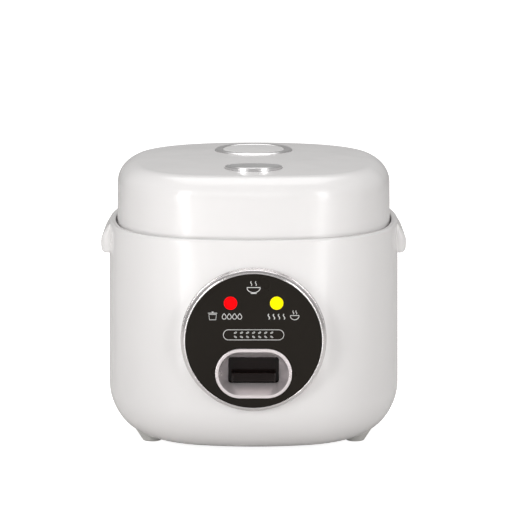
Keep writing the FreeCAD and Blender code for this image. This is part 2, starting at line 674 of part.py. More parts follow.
def switch_surround():
    """The plated surround of the cook switch: a raised rim and a funnel down to the window."""
    body = new_body("switch_surround")
    inner = sketch_on(body, "XZ", "-window_y - 1.5", up="switch_z")
    pad(body, stadium(inner, "switch_half - 1.4", "switch_round - 1.4"), "window_y - panel_face + 2.3")
    rim = sketch_on(body, "XZ", "0.05 - panel_face", up="switch_z")
    pad(body, stadium(rim, "switch_half", "switch_round"), "rim_proud - 0.05")
    outside = value("panel_face - rim_proud + 0.1")
    round_edges(body, "0.6", lambda e: e.BoundBox.YMax < outside)
    window = sketch_on(body, "XZ", "-window_y - 4", up="switch_z")
    pocket(body, rounded_box(window, "window_half", "window_tall / 2", "2"), "30", upward=True)
    doc.recompute()
    loft = body.newObject("PartDesign::SubtractiveLoft", "Funnel")
    low = sketch_on(body, "XZ", "-window_y", up="switch_z")
    high = sketch_on(body, "XZ", "rim_proud + 0.01 - panel_face", up="switch_z")
    loft.Profile = rounded_box(low, "window_half + 0.01", "window_tall / 2 + 0.01", "2")
    loft.Sections = [stadium(high, "switch_half - 2.2", "switch_round - 2.2")]
    loft.Ruled = True


# ---------------------------------------------------------------- lid
def lid_cover():
    """The lid's outer shell: drafted walls, a broad rounded shoulder and a low crown on top."""
    body = doc.addObject("PartDesign::Body", "Lid")
    outline = rounded_square(sketch_on(body, "XY", "lid_low"), "lid_inset")
    pad(body, outline, "lid_top - lid_low + 2", TaperAngle="-lid_draft")
    cut(body, "Groove", crown(body), ReferenceAxis=(body.Group[-1], ["V_Axis"]), Angle="360")
    shoulder = value("lid_top - 12")
    round_edges(body, "lid_round", lambda e: e.BoundBox.ZMin > shoulder)
    top = "lid_top + 5"
    pocket(body, circle(sketch_on(body, "XY", top), 0, "cap_y", "vent_rad + 0.3"), "20")
    pocket(body, circle(sketch_on(body, "XY", top), 0, "cap_y", "cap_rad + 0.3"), "6.9")
    hole = ellipse(sketch_on(body, "XY", top), "button_y", "button_long + 0.6", "button_deep + 0.6")
    pocket(body, hole, "20")
    slot = sketch_on(body, "XZ", "18 - body_half", up="hinge_z")
    pocket(body, box_outline(slot, 0, 0, "2 * knuckle_in - 0.4", "7.6"), "14")
    core = doc.addObject("PartDesign::Body", "LidCore")
    outline = rounded_square(sketch_on(core, "XY", "lid_low - 1"), "lid_inset + lid_wall")
    pad(core, outline, "lid_ceiling - lid_low + 1", TaperAngle="-lid_draft")
    round_edges(core, "lid_round - lid_wall", lambda e: level(e, value("lid_ceiling")))
    node("lid_cover", less(body, core))


def crown(body):
    """The outline above the lid's crown, which is part of a large sphere."""
    sketch = sketch_on(body, "XZ")
    radius = "5000 / lid_crown"
    sphere, top = value(radius), value("lid_top")
    centre = V(0, top - sphere, 0)
    lean = math.acos(130 / sphere)
    end = centre + V(math.cos(lean), math.sin(lean), 0) * sphere
    sketch.addGeometry(Part.ArcOfCircle(Part.Circle(centre, V(0, 0, 1), sphere), lean, math.pi / 2), False)
    corners = [V(0, top, 0), V(0, top + 8, 0), V(130, top + 8, 0), end]
    for start, finish in zip(corners, corners[1:]):
        sketch.addGeometry(Part.LineSegment(start, finish), False)
    for one, one_end, other, other_end in ((0, 2, 1, 1), (1, 2, 2, 1), (2, 2, 3, 1), (3, 2, 0, 1)):
        sketch.addConstraint(Sketcher.Constraint("Coincident", one, one_end, other, other_end))
    pin_point(sketch, 1, 1, 0, "lid_top")
    pin_point(sketch, 2, 1, 0, "lid_top + 8")
    pin_point(sketch, 3, 1, "130", "lid_top + 8")
    sketch.addConstraint(Sketcher.Constraint("Vertical", 3))
    sketch.addConstraint(Sketcher.Constraint("PointOnObject", 0, 3, -2))
    index = sketch.addConstraint(Sketcher.Constraint("Radius", 0, sphere))
    bind(sketch, f"Constraints[{index}]", radius)
    return sketch


def lid_liner():
    """The lid's underside: a flat border, and a round well that holds the inner lid."""
    body = new_body("lid_liner")
    outline = rounded_square(sketch_on(body, "XY", "lid_low + 0.2"), "lid_inset + lid_wall + 0.25")
    pad(body, outline, "2")
    well = sketch_on(body, "XY", "lid_low + 2")
    pad(body, circle(well, 0, 0, "recess_rad + 1.6"), "liner_top - lid_low - 2")
    recess = sketch_on(body, "XY", "lid_low")
    pocket(body, circle(recess, 0, 0, "recess_rad"), "liner_top - lid_low - 2", upward=True)
    pocket(body, box_outline(sketch_on(body, "XY", "liner_top"), 0, -95, "19", "9.2"), "20")
    pocket(body, circle(sketch_on(body, "XY", "liner_top"), 0, "cap_y", "9"), "20")


def inner_lid():
    """The removable inner lid: a dished aluminium plate, its rubber seal and its rubber button."""
    plate = new_body("inner_lid_plate")
    revolve(plate, [
        ("3.6", "lid_low + 3.4"), ("74", "lid_low + 3.4"), ("76", "lid_low + 4.4"), ("84", "lid_low + 4.4"),
        ("84", "lid_low + 5.2"), ("75.6", "lid_low + 5.2"), ("73.6", "lid_low + 4.2"),
        ("3.6", "lid_low + 4.2"),
    ])
    doc.recompute()
    holes = sketch_on(plate, "XY", "lid_low")
    for turn in range(0, 360, 60):
        circle(holes, f"7 * cos({turn} deg)", f"cap_y + 7 * sin({turn} deg)", "1.6")
    pocket(plate, holes, "8", upward=True)
    seal = new_body("lid_seal")
    revolve(seal, [
        ("81.8", "lid_low - 0.1"), ("83.2", "lid_low - 0.1"), ("84.2", "lid_low + 2.6"),
        ("87.6", "lid_low + 2.6"),
        ("87.6", "lid_low + 5.4"), ("84.1", "lid_low + 5.4"), ("84.1", "lid_low + 4.3"),
        ("82.4", "lid_low + 4.3"),
        ("82.4", "lid_low + 3"),
    ])
    button = new_body("inner_lid_button")
    revolve(button, [
        ("0", "lid_low + 1.2"), ("6", "lid_low + 1.2"), ("7", "lid_low + 2.2"), ("7", "lid_low + 3.35"),
        ("3.5", "lid_low + 3.35"), ("3.5", "lid_low + 4.25"), ("3", "lid_low + 5.4"),
        ("0", "lid_low + 5.4"),
    ])


def steam_vent():
    """The vent's tube in the lid, and the cap that pulls out of it."""
    tube = new_body("steam_vent_tube")
    pad(tube, circle(sketch_on(tube, "XY", "liner_top + 0.05"), 0, "cap_y", "vent_rad"),
        "lid_top - 3 - liner_top")
    bore = circle(sketch_on(tube, "XY", "lid_top"), 0, "cap_y", "vent_rad - 1.6")
    pocket(tube, bore, "lid_top - liner_top - 2.4")
    pocket(tube, circle(sketch_on(tube, "XY", "lid_top"), 0, "cap_y", "8"), "60")
    seat = "lid_top - 1.9"
    ring = new_body("steam_cap_ring")
    revolve(ring, [
        ("cap_inner", f"{seat} + 0.1"), ("cap_rad", f"{seat} + 0.1"), ("cap_rad", f"{seat} + 2"),
        ("cap_rad - 1", f"{seat} + 2.7"), ("cap_inner + 0.6", f"{seat} + 2.7"),
        ("cap_inner", f"{seat} + 2.3"),
    ])
    cover = new_body("steam_cap_cover")
    revolve(cover, [
        ("0", f"{seat} - 0.9"), ("vent_rad - 2.2", f"{seat} - 0.9"), ("vent_rad - 2.2", f"{seat} + 0.15"),
        ("cap_inner - 0.1", f"{seat} + 0.15"), ("cap_inner - 0.1", f"{seat} + 2"),
        ("cap_inner - 1.2", f"{seat} + 2.6"), ("0", f"{seat} + 3"),
    ])
    basket = new_body("steam_cap_basket")
    revolve(basket, [
        ("vent_rad - 4.2", "liner_top + 8"), ("vent_rad - 2.8", "liner_top + 8"),
        ("vent_rad - 2.8", f"{seat} - 1"), ("vent_rad - 4.2", f"{seat} - 1"),
    ])
    doc.recompute()
    slots = sketch_on(basket, "XZ", "-40")
    pocket(basket, box_outline(slots, 0, "lid_top - 14", "5", "10"), "80", upward=True)
    for part in (ring, cover, basket):
        bind(part, "Placement.Base.y", "cap_y")


def release():
    """The lid's release: a plated oval button with a stem, and the hook that it rocks."""
    body = new_body("release_button")
    under = "lid_top - 9"
    top = ellipse(sketch_on(body, "XY", under), "button_y", "button_long", "button_deep")
    pad(body, top, "14")
    back, front = "button_y + button_deep / 2 + 1", "button_y - button_deep / 2 - 1"
    slope = polygon(sketch_on(body, "YZ"), [
        (back, "lid_top - 0.4"), (front, "lid_top + 1.3"), (front, "lid_top + 9"), (back, "lid_top + 9"),
    ])
    pocket(body, slope, "60", Midplane=True)
    round_edges(body, "0.8", lambda e: e.BoundBox.ZMin > value("lid_top - 2"))
    hollow = ellipse(sketch_on(body, "XY", under), "button_y", "button_long - 4", "button_deep - 4")
    pocket(body, hollow, "6.6", upward=True)
    stem = sketch_on(body, "XY", "hook_z + 4.2")
    pad(body, circle(stem, 0, "button_y", "2.6"), "lid_top - 4.4 - hook_z")
    spring("button_spring", "4.6", "0.45", "15.4", 8, ("0", "button_y", "hook_z + 14.2"))
    hook = new_body("latch_hook")
    side = [
        ("-50", "hook_z - 1.4"), ("-50", "hook_z + 3.9"), ("hook_y - 2", "hook_z + 3.9"),
        ("-94.8", "hook_z - 8"),
        ("-94.8", "144.8"), ("-92.4", "144.8"), ("-90.6", "145.8"), ("-90.6", "146.8"), ("-92.4", "147.6"),
        ("-92.4", "hook_z - 9"), ("hook_y + 3", "hook_z - 3.6"),
    ]
    pad(hook, polygon(sketch_on(hook, "YZ"), side), "14", Midplane=True)
    pocket(hook, circle(sketch_on(hook, "YZ", "10"), "hook_y", "hook_z", "hook_pin + 0.06"), "20")
    node("hook_pin", rod("hook_pin", "23", ("-11.5", "hook_y", "hook_z"), "X"))
    foot = "liner_top + 0.05"
    walls = [block("3", "44", "3", (f"{side} * 10.5", "-66", foot)) for side in (-1, 1)]
    cheeks = [block("3", "9", "hook_z + 4 - liner_top",
        (f"{side} * 10.5", "hook_y + 0.5", foot)) for side in (-1, 1)]
    legs = [block("3", "12", "hook_z + 13 - liner_top",
        (f"{side} * 10.5", "button_y", foot)) for side in (-1, 1)]
    bridge = block("24", "12", "1.6", ("0", "button_y", "hook_z + 11.8"))
    bores = [rod("hook_pin + 0.02", "30", ("-15", "hook_y", "hook_z"), "X"),
        rod("3", "9", ("0", "button_y", "hook_z + 8"))]
    node("latch_mount", less(fuse(*walls, *cheeks, *legs, bridge), *bores))


# ---------------------------------------------------------------- hinge
def hinge(housing):
    """The rear hinge: a bracket on the casing, an arm from the lid, the pin and its spring."""
    bracket = doc.addObject("PartDesign::Body", "Bracket")
    side = polygon(sketch_on(bracket, "YZ"), [
        ("hinge_y - 6", "rim_z - 22"), ("hinge_y + 2", "rim_z - 22"),
        ("hinge_y + barrel_rad", "rim_z - 14"),
        ("hinge_y + barrel_rad", "hinge_z"), ("hinge_y - 2", "hinge_z"), ("hinge_y - 2", "rim_z - 2"),
        ("hinge_y - 6", "rim_z - 2"),
    ])
    pad(bracket, side, "2 * knuckle_out", Midplane=True)
    barrel = sketch_on(bracket, "YZ")
    pad(bracket, circle(barrel, "hinge_y", "hinge_z", "barrel_rad"), "2 * knuckle_out", Midplane=True)
    gap = sketch_on(bracket, "XZ", "-hinge_y - 10", up="hinge_z")
    pocket(bracket, box_outline(gap, 0, 0, "2 * knuckle_in", "2 * barrel_rad + 3"), "30", upward=True)
    pin_bore(bracket, "hinge_pin + 0.02")
    node("hinge_bracket", less(bracket, housing))
    arm = new_body("hinge_arm")
    profile = polygon(sketch_on(arm, "YZ"), [
        ("hinge_y - 18", "hinge_z - 3.4"), ("hinge_y", "hinge_z - 3.4"), ("hinge_y", "hinge_z + 3.4"),
        ("hinge_y - 18", "hinge_z + 3.4"),
    ])
    wide = "2 * knuckle_in - 0.8"
    pad(arm, profile, wide, Midplane=True)
    tube = circle(sketch_on(arm, "YZ"), "hinge_y", "hinge_z", "barrel_rad - 0.6")
    pad(arm, tube, wide, Midplane=True)
    notch = box_outline(sketch_on(arm, "XZ", "-hinge_y - 10", up="hinge_z"), 0, 0, "11",
        "2 * barrel_rad + 3")
    pocket(arm, notch, "15.4", upward=True)
    pin_bore(arm, "hinge_pin + 0.06")
    node("hinge_pin", rod("hinge_pin", "2 * knuckle_out", ("-knuckle_out", "hinge_y", "hinge_z"), "X"))
    spring("hinge_spring", "hinge_pin + 1", "0.45", "8.4", 6, ("-4.2", "hinge_y", "hinge_z"), "X")


def pin_bore(body, radius):
    bore = circle(sketch_on(body, "YZ", "knuckle_out + 2"), "hinge_y", "hinge_z", radius)
    pocket(body, bore, "80")


# ---------------------------------------------------------------- power inlet
def inlet():
    """The two-pole appliance inlet in the back wall."""
    body = new_body("inlet_housing")
    flange = sketch_on(body, "XZ", "-body_half", up="inlet_z")
    feature(body, "Pad", box_outline(flange, 0, 0, "inlet_wide", "inlet_tall"), Length="1.85")
    barrel = sketch_on(body, "XZ", "-body_half", up="inlet_z")
    feature(body, "Pad", box_outline(barrel, 0, 0, "inlet_wide - 6", "inlet_tall - 7"), Length="19")
    mouth = sketch_on(body, "XZ", "16 - body_half", up="inlet_z")
    pocket(body, box_outline(mouth, 0, 0, "inlet_wide - 10", "inlet_tall - 11"), "20")
    pins = [rod("1.2", "13", (f"{side} * 5.2", "body_half - 15.95", "inlet_z"), "Y") for side in (-1, 1)]
    node("inlet_pins", group(*pins))


def build():
    housing = outer_housing()
    for make in (base_cover, base_posts, feet, rim_frame, inner_shell, inner_pot, heating_plate,
                 heating_element, thermostat, cook_lever, lever_mount, electrics, panel, switch_surround,
                 lid_cover, lid_liner, inner_lid, steam_vent, release, inlet):
        make()
    hinge(housing)


def save():
    """Recomputes, checks that everything is sound, and writes each sub-part."""
    doc.recompute()
    for thing in doc.Objects:
        if {"Invalid", "Error"} & set(thing.State):
            raise RuntimeError(f"{thing.Label} ({thing.Name}) is {thing.State}")
    for label, thing in NODES.items():
        if thing.Shape.isNull() or not thing.Shape.isValid() or thing.Shape.Volume < 1:
            raise RuntimeError(f"{label} has no sound solid")
    os.makedirs("parts", exist_ok=True)
    for label, thing in NODES.items():
        thing.Shape.exportStep(f"parts/{label}.step")


build()
save()
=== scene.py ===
"""A small white rice cooker on a pale floor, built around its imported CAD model."""

import math

import bmesh
import bpy
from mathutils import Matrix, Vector


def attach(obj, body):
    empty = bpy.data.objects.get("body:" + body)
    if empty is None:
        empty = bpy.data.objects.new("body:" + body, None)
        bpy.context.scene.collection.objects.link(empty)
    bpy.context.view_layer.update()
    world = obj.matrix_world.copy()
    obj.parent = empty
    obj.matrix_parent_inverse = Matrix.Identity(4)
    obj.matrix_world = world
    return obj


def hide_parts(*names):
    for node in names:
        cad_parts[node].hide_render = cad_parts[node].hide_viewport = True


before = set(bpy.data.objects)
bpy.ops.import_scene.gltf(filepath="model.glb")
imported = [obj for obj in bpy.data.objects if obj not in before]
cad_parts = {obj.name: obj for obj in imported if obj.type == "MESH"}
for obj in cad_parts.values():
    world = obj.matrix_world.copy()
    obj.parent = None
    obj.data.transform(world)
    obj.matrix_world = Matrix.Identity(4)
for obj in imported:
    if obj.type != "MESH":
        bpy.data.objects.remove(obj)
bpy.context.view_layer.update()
MM = 0.001
TURN = 2 * math.pi

# ------------------------------------------------------------------ the CAD's measures, in mm
BODY_HALF, SIDE_ARC, CORNER_ARC = 107.5, 200.0, 76.0
FOOT, RIM, BASE_ROUND = 5.5, 160.0, 33.0
LIP_INSET, LEDGE_INSET, OPENING_INSET = 6.5, 9.5, 41.5
BODY_SLOPE, LID_SLOPE = math.tan(math.radians(0.7)), math.tan(math.radians(1.0))
LEDGE_TOP, LEDGE_LOW, WALL_LOW, WALL_HIGH = 148.0, 144.0, 40.0, 158.0
FLOOR_TOP, FLOOR_ROUND = 8.5, 30
LID_INSET, LID_LOW, LID_TOP, LID_ROUND, LID_CEILING = 7.5, 152.4, 204.5, 16.0, 198.6
LID_WALL, LID_WALL_HIGH, SHOULDER_Z, INNER_ROUND = 2.5, 185.0, 186, 13.5
GRIP_ROOT, GRIP_MID, GRIP_HALF, GRIP_ROUND = 102.6, 147.5, 28, 3.5
HOLE_LOW, HOLE_HIGH = 190, 215
CROWN_RADIUS = 5000 / 3.0
CAP_Y, BUTTON_Y = 31.0, -54.0
PANEL_Z, PANEL_FACE = 90.3, -112.3


# ------------------------------------------------------------------ node materials
def nodes_of(name):
    material = bpy.data.materials.new(name)
    material.use_nodes = True
    tree = material.node_tree
    return material, tree, tree.nodes["Principled BSDF"]


def link(tree, source, socket, target, name):
    tree.links.new(source.outputs[socket], target.inputs[name])


def noise(tree, coords, scale, detail, stretch=(1, 1, 1)):
    """Noise in object space, stretched along an axis for brushed surfaces."""
    mapping = tree.nodes.new("ShaderNodeMapping")
    mapping.inputs["Scale"].default_value = stretch
    link(tree, coords, "Object", mapping, "Vector")
    made = tree.nodes.new("ShaderNodeTexNoise")
    made.inputs["Scale"].default_value = scale
    made.inputs["Detail"].default_value = detail
    link(tree, mapping, "Vector", made, "Vector")
    return made


def ramp(tree, source, low, high):
    """Maps noise to the span between two numbers."""
    made = tree.nodes.new("ShaderNodeMapRange")
    made.inputs["From Min"].default_value = 0.3
    made.inputs["From Max"].default_value = 0.7
    made.inputs["To Min"].default_value = low
    made.inputs["To Max"].default_value = high
    link(tree, source, "Fac", made, "Value")
    return made


def surface(
    name, colour, rough, metal=0.0, coat=0.0, shade=0.96, spread=0.03, cloud=9.0,
    grain=900.0, bump=0.02, depth=0.0002, stretch=(1, 1, 1), glow=0.0, specular=0.5,
):
    """A Principled surface whose colour and roughness drift a little, with a fine grain."""
    material, tree, shader = nodes_of(name)
    coords = tree.nodes.new("ShaderNodeTexCoord")
    drift = noise(tree, coords, cloud, 4.0)
    tint = tree.nodes.new("ShaderNodeMix")
    tint.data_type = "RGBA"
    tint.inputs["A"].default_value = (*[c * shade for c in colour], 1)
    tint.inputs["B"].default_value = (*colour, 1)
    factor = ramp(tree, drift, 0.0, 1.0)
    link(tree, factor, "Result", tint, "Factor")
    tree.links.new(tint.outputs["Result"], shader.inputs["Base Color"])
    fine = noise(tree, coords, grain, 3.0, stretch)
    smear = noise(tree, coords, cloud * 3.7, 5.0, stretch)
    roughness = ramp(tree, smear, max(rough - spread, 0.02), rough + spread)
    link(tree, roughness, "Result", shader, "Roughness")
    relief = tree.nodes.new("ShaderNodeBump")
    relief.inputs["Strength"].default_value = bump
    relief.inputs["Distance"].default_value = depth
    link(tree, fine, "Fac", relief, "Height")
    link(tree, relief, "Normal", shader, "Normal")
    shader.inputs["Metallic"].default_value = metal
    shader.inputs["Coat Weight"].default_value = coat
    shader.inputs["Coat Roughness"].default_value = 0.06
    shader.inputs["Specular IOR Level"].default_value = specular
    if glow:
        shader.inputs["Emission Color"].default_value = (*colour, 1)
        shader.inputs["Emission Strength"].default_value = glow
    return material


def dress(material, *names):
    """Gives a finish to CAD nodes."""
    for name in names:
        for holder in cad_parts[name].material_slots:
            holder.link = "OBJECT"
            holder.material = material


WHITE = surface("white_shell", (0.83, 0.815, 0.81), 0.22, coat=0.35, shade=0.985, spread=0.03, bump=0.012)
CAP_WHITE = surface("cap_white", (0.86, 0.85, 0.845), 0.2, coat=0.35, shade=0.98, bump=0.012)
CHROME = surface("plated_trim", (0.84, 0.81, 0.81), 0.2, metal=1.0, shade=0.95, bump=0.008)
# Painted reflection: the switch surround's plating gets a brighter, pinker base colour than the bezel's and
# is only 70% metallic, so its funnel walls look lit as if they reflected the room.
SURROUND_PAINTED_REFLECTION = surface(
    "plated_surround_painted_reflection", (0.95, 0.88, 0.89), 0.3, metal=0.7, shade=0.95, bump=0.01, specular=0.6,
)
SATIN = surface("satin_trim", (0.78, 0.77, 0.77), 0.3, metal=1.0, shade=0.95, bump=0.02)
BLACK = surface("panel_black", (0.016, 0.013, 0.010), 0.3, shade=0.8, bump=0.01, specular=0.14)
LEVER = surface("lever_black", (0.007, 0.0035, 0.003), 0.2, shade=0.7, bump=0.01, specular=0.22)
PRINT = surface("panel_print", (0.75, 0.75, 0.74), 0.45, shade=0.92, bump=0.02)
RED = surface("lens_red", (0.85, 0.0, 0.002), 0.3, shade=0.9, glow=0.6, specular=0.08)
YELLOW = surface("lens_yellow", (0.9, 0.78, 0.0), 0.3, shade=0.95, glow=0.45, specular=0.08)
GREY = surface("grey_plastic", (0.55, 0.55, 0.55), 0.42, shade=0.93, spread=0.06, bump=0.06)
FEET = surface("foot_rubber", (0.74, 0.73, 0.71), 0.55, shade=0.9, spread=0.08, bump=0.08)
ALUMINIUM = surface(
    "spun_aluminium", (0.72, 0.72, 0.73), 0.3, metal=1.0, shade=0.96, spread=0.03, bump=0.04,
    stretch=(1, 1, 12),
)
STEEL = surface("shell_steel", (0.55, 0.55, 0.55), 0.33, metal=1.0, shade=0.88, spread=0.08, bump=0.06)
BRIGHT = surface("bright_steel", (0.62, 0.62, 0.62), 0.24, metal=1.0, shade=0.9, spread=0.06, bump=0.03)
IRON = surface("magnet_iron", (0.09, 0.09, 0.095), 0.6, metal=0.4, shade=0.8, spread=0.1, bump=0.2)
BROWN = surface("switch_brown", (0.12, 0.05, 0.03), 0.5, shade=0.85, spread=0.08, bump=0.08)
CERAMIC = surface("fuse_body", (0.75, 0.73, 0.68), 0.5, shade=0.9, bump=0.08)
BAND = surface("heater_band", (0.42, 0.28, 0.13), 0.7, shade=0.8, spread=0.1, bump=0.3, stretch=(1, 1, 6))
SEAL = surface("seal_rubber", (0.62, 0.62, 0.61), 0.5, shade=0.92, spread=0.06, bump=0.06)
INLET = surface("inlet_black", (0.02, 0.02, 0.02), 0.45, shade=0.8, spread=0.08, bump=0.1)
BRASS = surface("inlet_brass", (0.62, 0.47, 0.2), 0.25, metal=1.0, shade=0.85, bump=0.03)

dress(WHITE, "outer_housing", "lid_cover")
dress(CAP_WHITE, "steam_cap_cover")
dress(CHROME, "panel_bezel")
dress(SURROUND_PAINTED_REFLECTION, "switch_surround")
dress(SATIN, "release_button")
dress(SATIN, "steam_cap_ring")
dress(BLACK, "panel_disc")
dress(LEVER, "cook_lever")
dress(RED, "cook_lens")
dress(YELLOW, "warm_lens")
dress(
    GREY, "rim_frame", "lid_liner", "base_cover", "steam_vent_tube", "steam_cap_basket", "panel_carrier",
    "latch_mount", "latch_hook",
)
dress(CAP_WHITE, "hinge_arm", "hinge_bracket")
dress(FEET, *[f"foot_{end}_{side}" for end in ("front", "rear") for side in ("left", "right")])
dress(ALUMINIUM, "inner_pot", "heating_plate", "inner_lid_plate", "sensor_cup")
dress(STEEL, "inner_shell", "thermostat_bracket", "lever_stirrup")
dress(
    BRIGHT, "base_posts", "base_screws", "plate_screws", "lever_pin", "hook_pin", "hinge_pin",
    "heating_element", "sensor_spring", "magnet_spring", "button_spring", "hinge_spring",
)
dress(IRON, "ferrite_disc", "magnet_plunger")
dress(BROWN, "changeover_switch", "terminal_block", "lamp_board")
dress(CERAMIC, "thermal_fuse")
dress(BAND, "warming_heater")
dress(SEAL, "lid_seal", "inner_lid_button")
dress(INLET, "inlet_housing")
dress(BRASS, "inlet_pins")


# ------------------------------------------------------------------ mesh helpers
def piece(name, verts, faces, material, body, smooth=True):
    """A new visible piece from millimetre points."""
    mesh = bpy.data.meshes.new(name)
    mesh.from_pydata([Vector(v) * MM for v in verts], [], faces)
    mesh.materials.append(material)
    for face in mesh.polygons:
        face.use_smooth = smooth
    mesh.update()
    made = bpy.data.objects.new(name, mesh)
    bpy.context.collection.objects.link(made)
    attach(made, body)
    return made


def grid_faces(rows, columns, closed=False):
    """Quads over rows of points that each close on themselves."""
    faces = []
    for i in range(rows if closed else rows - 1):
        for j in range(columns):
            k = (j + 1) % columns
            below, above = i * columns, ((i + 1) % rows) * columns
            faces.append((below + j, below + k, above + k, above + j))
    return faces


def outline(inset, sides=44, corners=30):
    """The body's rounded square, moved in by inset: four wide arcs joined by tangent corners."""
    back = SIDE_ARC - BODY_HALF
    gap = SIDE_ARC - CORNER_ARC
    offset = (-2 * back + math.sqrt(4 * back**2 - 8 * (back**2 - gap**2))) / 4
    lean = math.atan2(offset + back, offset)
    points = []
    for turn in range(4):
        spin = turn * math.pi / 2
        for centre, radius, start, stop, count in (
            ((offset, offset), CORNER_ARC, math.pi / 2 - lean, lean, corners),
            ((0, -back), SIDE_ARC, lean, math.pi - lean, sides),
        ):
            for step in range(count):
                angle = start + (stop - start) * step / count
                x = centre[0] + (radius - inset) * math.cos(angle)
                y = centre[1] + (radius - inset) * math.sin(angle)
                points.append((
                    x * math.cos(spin) - y * math.sin(spin),
                    x * math.sin(spin) + y * math.cos(spin),
                ))
    return points


def arc(centre, radius, start, stop, count):
    """Points of an arc in a profile, angles in degrees from the first axis."""
    return [
        (
            centre[0] + radius * math.cos(math.radians(start + (stop - start) * i / count)),
            centre[1] + radius * math.sin(math.radians(start + (stop - start) * i / count)),
        )
        for i in range(count + 1)
    ]


def line(start, stop, count):
    """Points of a straight run in a profile, without its last."""
    return [
        (start[0] + (stop[0] - start[0]) * i / count, start[1] + (stop[1] - start[1]) * i / count)
        for i in range(count)
    ]


def cutter(target, shape):
    """Cuts a hidden solid out of a piece, and makes the solid follow the piece when it moves."""
    shape.parent = target
    shape.hide_render = True
    shape.hide_viewport = True
    made = target.modifiers.new(shape.name, "BOOLEAN")
    made.operation = "DIFFERENCE"
    made.solver = "EXACT"
    made.object = shape


def hidden_solid(name, verts, faces):
    """A closed solid that is never seen, for cutting."""
    mesh = bpy.data.meshes.new(name)
    mesh.from_pydata([Vector(v) * MM for v in verts], [], faces)
    work = bmesh.new()
    work.from_mesh(mesh)
    bmesh.ops.recalc_face_normals(work, faces=work.faces)
    work.to_mesh(mesh)
    work.free()
    made = bpy.data.objects.new(name, mesh)
    bpy.context.collection.objects.link(made)
    return made


def oval_cutter(name, centre, along, across, axis, low, high, count=128):
    """An elliptic cylinder along Y or Z between two heights."""
    verts = []
    for level in (low, high):
        for i in range(count):
            a, b = along * math.cos(TURN * i / count), across * math.sin(TURN * i / count)
            x, other = centre[0] + a, centre[1] + b
            verts.append((x, level, other) if axis == "Y" else (x, other, level))
    faces = grid_faces(2, count)
    faces += [tuple(range(count)), tuple(range(count, 2 * count))]
    return hidden_solid(name, verts, faces)


def box_cutter(name, low, high):
    verts = [(x, y, z) for x in (low[0], high[0]) for y in (low[1], high[1]) for z in (low[2], high[2])]
    faces = [(0, 1, 3, 2), (4, 5, 7, 6), (0, 1, 5, 4), (2, 3, 7, 6), (0, 2, 6, 4), (1, 3, 7, 5)]
    return hidden_solid(name, verts, faces)


def lathe(name, profile, material, body, centre=(0, 0), axis="Z", count=160):
    """Turns a closed profile of (radius, level) about a vertical or a front-to-back axis."""
    verts = []
    for radius, level in profile:
        for i in range(count):
            a, b = radius * math.cos(TURN * i / count), radius * math.sin(TURN * i / count)
            x, other = centre[0] + a, centre[1] + b
            verts.append((x, level, other) if axis == "Y" else (x, other, level))
    made = piece(name, verts, grid_faces(len(profile), count, closed=True), material, body)
    fix_normals(made)
    return made


def fix_normals(made):
    work = bmesh.new()
    work.from_mesh(made.data)
    bmesh.ops.recalc_face_normals(work, faces=work.faces)
    work.to_mesh(made.data)
    work.free()


def creased(made, degrees=35):
    """Smooth faces with sharp edges where they meet at more than an angle."""
    made.data.set_sharp_from_angle(angle=math.radians(degrees))


# ------------------------------------------------------------------ casing
def casing():
    """The outer casing as an even mesh, so that light runs over it without a break."""
    def wall(z):
        return (z - FOOT) * BODY_SLOPE

    profile = line((OPENING_INSET, FOOT), (BASE_ROUND, FOOT), 4)
    for i in range(29):
        angle = math.pi / 2 * i / 28
        z = FOOT + BASE_ROUND * (1 - math.cos(angle))
        profile.append((BASE_ROUND * (1 - math.sin(angle)) + wall(z), z))
    profile += line((wall(WALL_LOW), WALL_LOW), (wall(WALL_HIGH), WALL_HIGH), 40)
    profile += arc((wall(WALL_HIGH) + 2, WALL_HIGH), 2.0, 180, 90, 10)
    profile += arc((LIP_INSET - 1.1, RIM - 1.1), 1.1, 90, 0, 8)
    profile += line((LIP_INSET, 158.5), (LIP_INSET, LEDGE_TOP), 4)
    profile += [(LIP_INSET, LEDGE_TOP), (LEDGE_INSET, LEDGE_TOP), (LEDGE_INSET, LEDGE_LOW)]
    inner = 2.6 - FLOOR_TOP * BODY_SLOPE
    profile += [(inner + LEDGE_LOW * BODY_SLOPE, LEDGE_LOW)]
    profile += [(inner + z * BODY_SLOPE, float(z)) for z in (120, 90, 60, 38.5)]
    for i in range(1, 13):
        angle = math.pi / 2 * (1 - i / 12)
        inset = 2.9 + FLOOR_ROUND * (1 - math.sin(angle))
        profile.append((inset, FLOOR_TOP + FLOOR_ROUND * (1 - math.cos(angle))))
    profile += [(OPENING_INSET, FLOOR_TOP)]
    verts = []
    for inset, z in profile:
        verts += [(x, y, z) for x, y in outline(inset)]
    columns = len(outline(0))
    made = piece("casing", verts, grid_faces(len(profile), columns, closed=True), WHITE, "base")
    fix_normals(made)
    creased(made)
    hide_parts("outer_housing")
    cutter(made, oval_cutter("panel_hole", (0, PANEL_Z), 50.6, 50.6, "Y", -125, -90))
    cutter(made, box_cutter("inlet_hole", (-14.2, 99.5, 47.8), (14.2, 112, 68.2)))
    cutter(made, box_cutter("inlet_recess", (-17.2, 105.6, 44.3), (17.2, 112, 71.7)))
    for side, name in ((-1, "left"), (1, "right")):
        grip(side, name)


